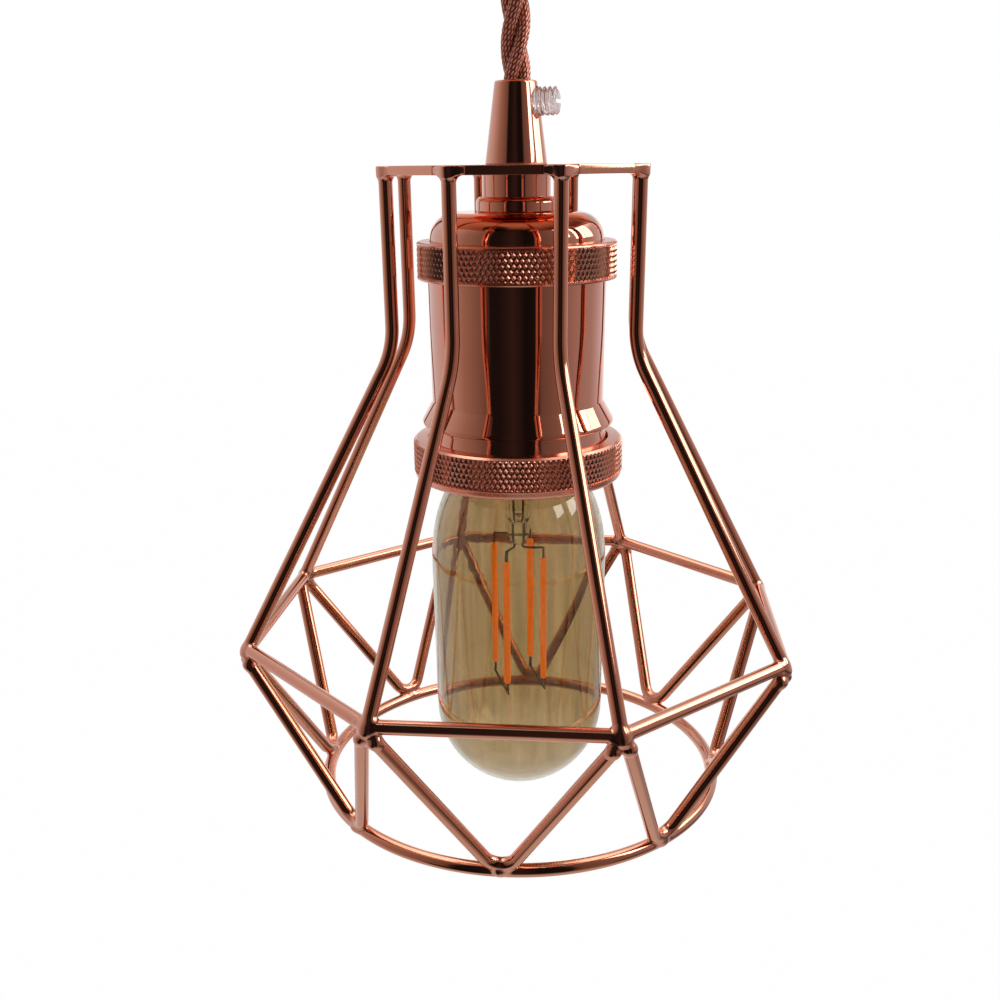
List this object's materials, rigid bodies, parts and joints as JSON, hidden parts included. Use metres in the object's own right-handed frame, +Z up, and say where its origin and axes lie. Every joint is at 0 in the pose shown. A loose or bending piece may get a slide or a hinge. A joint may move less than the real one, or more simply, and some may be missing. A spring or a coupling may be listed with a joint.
{
  "type": "bulb cage guard",
  "caption": "Octagonal copper-coloured wire guard round a tubular filament bulb, clamped between a cord grip and a knurled lamp holder that hangs from a ceiling rose.",
  "frame": {"origin": "centre of the ceiling rose's mounting face, in the plane of the ceiling", "axes": "+Z up along the cord into the ceiling, -Y the front, which the picture shows turned by about 5 degrees, +X to the right, within 10 degrees of the cord grips' screws"},
  "size_m": [0.1324, 0.1324, 0.2391],
  "materials": {
    "guard_copper": "polished copper plate on steel wire",
    "holder_copper": "polished copper plate on brass",
    "rose_copper": "polished copper plate on steel sheet",
    "clear_nylon": "natural nylon, translucent",
    "cord_fabric": "braided copper-brown sleeves over twisted cores",
    "plated_steel": "zinc plated",
    "porcelain": "glazed",
    "contact_brass": "plain brass",
    "cap_metal": "nickel-coloured sheet",
    "black_glass": "fused glass insulator",
    "amber_glass": "clear, amber tinted",
    "stem_glass": "clear",
    "lead_wire": "dull nickel wire",
    "filament_coat": "orange phosphor coating"
  },
  "bodies": {
    "root": {"cage_top_plate": "guard_copper", "cage_leg_1": "guard_copper", "cage_leg_2": "guard_copper", "cage_leg_3": "guard_copper", "cage_leg_4": "guard_copper", "cage_leg_5": "guard_copper", "cage_leg_6": "guard_copper", "cage_leg_7": "guard_copper", "cage_leg_8": "guard_copper", "cage_middle_ring": "guard_copper", "cage_brace_1": "guard_copper", "cage_brace_2": "guard_copper", "cage_brace_3": "guard_copper", "cage_brace_4": "guard_copper", "cage_brace_5": "guard_copper", "cage_brace_6": "guard_copper", "cage_brace_7": "guard_copper", "cage_brace_8": "guard_copper", "cage_bottom_ring": "guard_copper", "cord": "cord_fabric", "lower_grip": "holder_copper", "upper_grip": "holder_copper", "lower_grip_screw": "clear_nylon", "upper_grip_screw": "clear_nylon", "lower_nipple": "plated_steel", "lower_nipple_nut": "plated_steel", "upper_nipple": "plated_steel", "upper_nipple_nut": "plated_steel", "rose_bracket": "plated_steel", "rose_cover": "rose_copper", "rose_screw_1": "rose_copper", "rose_screw_2": "rose_copper", "holder_cap": "holder_copper", "upper_knurled_ring": "holder_copper", "holder_body": "holder_copper", "lower_knurled_ring": "holder_copper", "socket_core": "porcelain", "socket_sleeve": "contact_brass", "centre_contact": "contact_brass", "terminal_screw_1": "contact_brass", "terminal_screw_2": "contact_brass", "bulb_glass": "amber_glass", "bulb_cap": "cap_metal", "bulb_insulator": "black_glass", "bulb_contact": "cap_metal", "bulb_stem": "stem_glass", "bulb_lead_1": "lead_wire", "bulb_lead_2": "lead_wire", "bulb_cross_wire": "lead_wire", "bulb_link_1": "lead_wire", "bulb_link_2": "lead_wire", "bulb_filament_1": "filament_coat", "bulb_filament_2": "filament_coat", "bulb_filament_3": "filament_coat", "bulb_filament_4": "filament_coat"}
  },
  "joints": []
}
